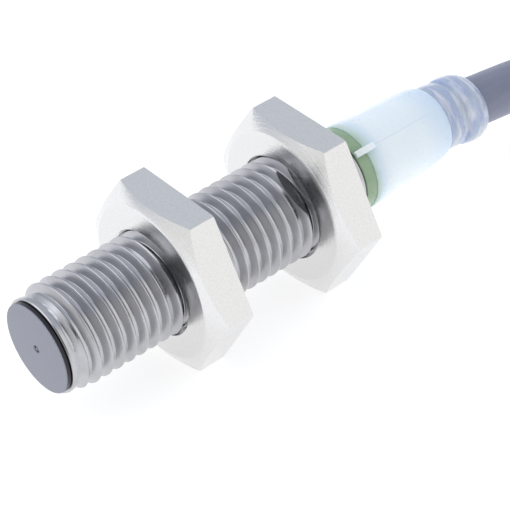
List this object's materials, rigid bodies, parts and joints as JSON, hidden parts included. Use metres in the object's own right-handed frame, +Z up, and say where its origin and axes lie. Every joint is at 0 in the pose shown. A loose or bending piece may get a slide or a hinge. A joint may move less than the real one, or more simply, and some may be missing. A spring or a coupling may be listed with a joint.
{
  "type": "proximity sensor",
  "caption": "Small threaded cylindrical inductive sensor with a flat sensing end, hex mounting nuts, a translucent end cap and a moulded-in cable tied in a hank.",
  "frame": {"origin": "centre of the flat sensing face", "axes": "+Y along the barrel from the sensing face toward the cable, +Z up when the sensor lies on its nuts, +X to the right seen from behind the cable"},
  "size_m": [0.036, 0.152, 0.0226],
  "materials": {
    "nickel_plate": "satin bright nickel plate on brass",
    "barrel_metal": "machined, satin",
    "face_plastic": "fine matte blue-grey",
    "green_plastic": "translucent green",
    "milky_plastic": "milky translucent",
    "clear_plastic": "clear, slightly blue",
    "ferrite": "sintered, matt dark grey",
    "copper": "enamelled copper",
    "board": "green solder mask",
    "chip": "black moulding",
    "part_ceramic": "fired ceramic",
    "led_body": "yellow, clear",
    "resin": "cast resin",
    "jacket": "satin dark grey",
    "tie": "natural nylon",
    "brown": "core insulation",
    "blue": "core insulation",
    "black": "core insulation",
    "tin": "tinned copper"
  },
  "bodies": {
    "sensor": {"sensing_face_cap": "face_plastic", "barrel": "barrel_metal", "ferrite_core": "ferrite", "coil_bobbin": "chip", "sensing_coil": "copper", "potting_resin": "resin", "locating_sleeve": "green_plastic", "end_cap": "milky_plastic", "cable_grommet": "clear_plastic", "crimp_ring": "tin", "circuit_board": "board", "sensor_chip": "chip", "filter_capacitor": "part_ceramic", "load_resistor": "chip", "output_transistor": "chip", "protection_diode": "chip", "status_led_upper": "led_body", "status_led_lower": "led_body", "core_brown": "brown", "core_blue": "blue", "core_black": "black", "lead_brown": "brown", "lead_blue": "blue", "lead_black": "black", "tip_brown": "tin", "tip_blue": "tin", "tip_black": "tin", "cable": "jacket", "cable_hank": "jacket", "hank_tie": "tie"},
    "front_nut": {"front_nut": "nickel_plate"},
    "rear_nut": {"rear_nut": "nickel_plate"}
  },
  "joints": [
    {"name": "front_nut_travel", "type": "slide", "parent": "sensor", "child": "front_nut", "axis": [0, 1, 0], "range_m": [-0.008, 0.004]},
    {"name": "rear_nut_travel", "type": "slide", "parent": "sensor", "child": "rear_nut", "axis": [0, 1, 0], "range_m": [-0.004, 0.002]}
  ]
}
